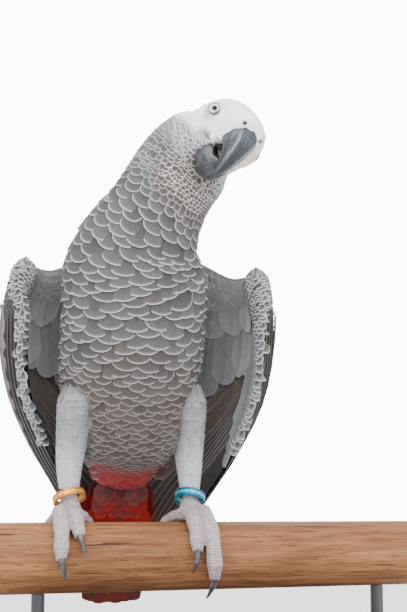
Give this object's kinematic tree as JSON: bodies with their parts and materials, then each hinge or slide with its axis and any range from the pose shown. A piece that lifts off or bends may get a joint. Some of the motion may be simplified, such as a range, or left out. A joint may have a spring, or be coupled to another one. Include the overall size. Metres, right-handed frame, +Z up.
{
  "type": "grey parrot on a perch stand",
  "caption": "Life-size still grey parrot gripping a short round wooden perch, wings held a little open and head cocked, on a flat base with rods.",
  "frame": {"origin": "centre of the underside of the stand's flat base", "axes": "+Z up; the perch lies along X; the bird faces -Y, with its left side towards +X"},
  "size_m": [0.28, 0.183, 0.3301],
  "materials": {
    "white_feathers": "matte",
    "grey_feathers": "matte",
    "pale_feathers": "matte",
    "flight_feathers": "matte",
    "red_feathers": "matte",
    "eye": "gloss",
    "bill_horn": "satin",
    "tongue": "satin",
    "foot_skin": "matte",
    "claw_horn": "satin",
    "blue_ring": "satin",
    "gold_ring": "satin",
    "perch_wood": "matte",
    "stand_metal": "satin"
  },
  "bodies": {
    "root": {"head": "white_feathers", "neck": "grey_feathers", "trunk": "grey_feathers", "leg_left": "pale_feathers", "leg_right": "pale_feathers", "wing_left_arm": "grey_feathers", "wing_right_arm": "grey_feathers", "wing_left_secondaries": "flight_feathers", "wing_right_secondaries": "flight_feathers", "wing_left_primaries": "flight_feathers", "wing_right_primaries": "flight_feathers", "tail": "red_feathers", "eye_left": "eye", "eye_right": "eye", "bill_upper": "bill_horn", "bill_lower": "bill_horn", "tongue": "tongue", "foot_left": "foot_skin", "foot_right": "foot_skin", "ring_left": "blue_ring", "ring_right": "gold_ring", "perch": "perch_wood", "stand_base": "stand_metal", "stand_rod_left": "stand_metal", "stand_rod_right": "stand_metal", "toe_left_inner_front": "foot_skin", "toe_left_outer_front": "foot_skin", "toe_left_inner_back": "foot_skin", "toe_left_outer_back": "foot_skin", "toe_right_inner_front": "foot_skin", "toe_right_outer_front": "foot_skin", "toe_right_inner_back": "foot_skin", "toe_right_outer_back": "foot_skin", "claw_left_inner_front": "claw_horn", "claw_left_outer_front": "claw_horn", "claw_left_inner_back": "claw_horn", "claw_left_outer_back": "claw_horn", "claw_right_inner_front": "claw_horn", "claw_right_outer_front": "claw_horn", "claw_right_inner_back": "claw_horn", "claw_right_outer_back": "claw_horn"}
  },
  "joints": []
}
